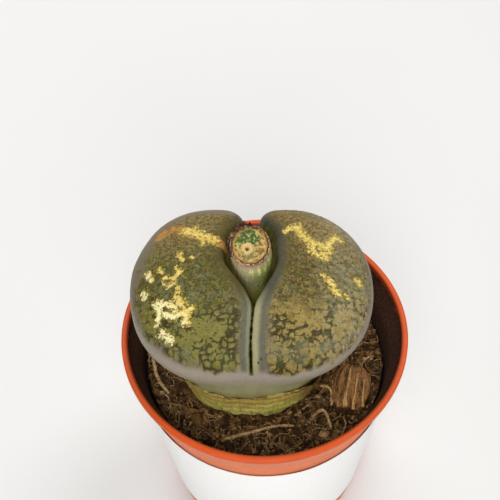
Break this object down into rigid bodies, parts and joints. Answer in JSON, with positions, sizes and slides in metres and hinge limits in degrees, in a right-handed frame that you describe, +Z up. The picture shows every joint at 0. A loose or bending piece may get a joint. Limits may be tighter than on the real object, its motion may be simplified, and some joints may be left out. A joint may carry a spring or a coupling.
{
  "type": "potted lithops",
  "caption": "Living-stone succulent with a pair of fused mottled leaves and an old seed capsule, growing in soil in a small round plastic pot with a plain white paper sleeve.",
  "frame": {"origin": "centre of the pot's foot ring, on the surface it stands on", "axes": "+Z up along the pot's axis; -Y is the front, the side the picture was taken from; +X is to the right seen from the front"},
  "size_m": [0.0556, 0.0556, 0.072],
  "materials": {
    "pot_plastic": "terracotta-orange moulded polypropylene, satin, slightly translucent",
    "label_paper": "white coated paper, bare",
    "soil_mix": "dark damp peat and bark mix; plastic only stands for its low weight",
    "leaf_skin": "waxy satin skin, olive windows with tan islands and grey-green channels; rubber stands for water-filled flesh",
    "old_skin": "papery dried leaf, yellow-green to brown",
    "capsule_skin": "half-dried woody fruit, grey-green with cream scars",
    "bark": "rough splintered bark and coir",
    "root_fibre": "dry pale-brown root fibre"
  },
  "bodies": {
    "root": {"pot": "pot_plastic", "pot_label": "label_paper", "soil": "soil_mix", "leaf_pair": "leaf_skin", "old_leaf_sheath": "old_skin", "seed_capsule": "capsule_skin", "bark_chip_large": "bark", "bark_chip_small": "bark", "bark_chip_left": "bark", "root_fibre_left": "root_fibre", "root_fibre_front": "root_fibre", "root_fibre_right": "root_fibre"}
  },
  "joints": []
}
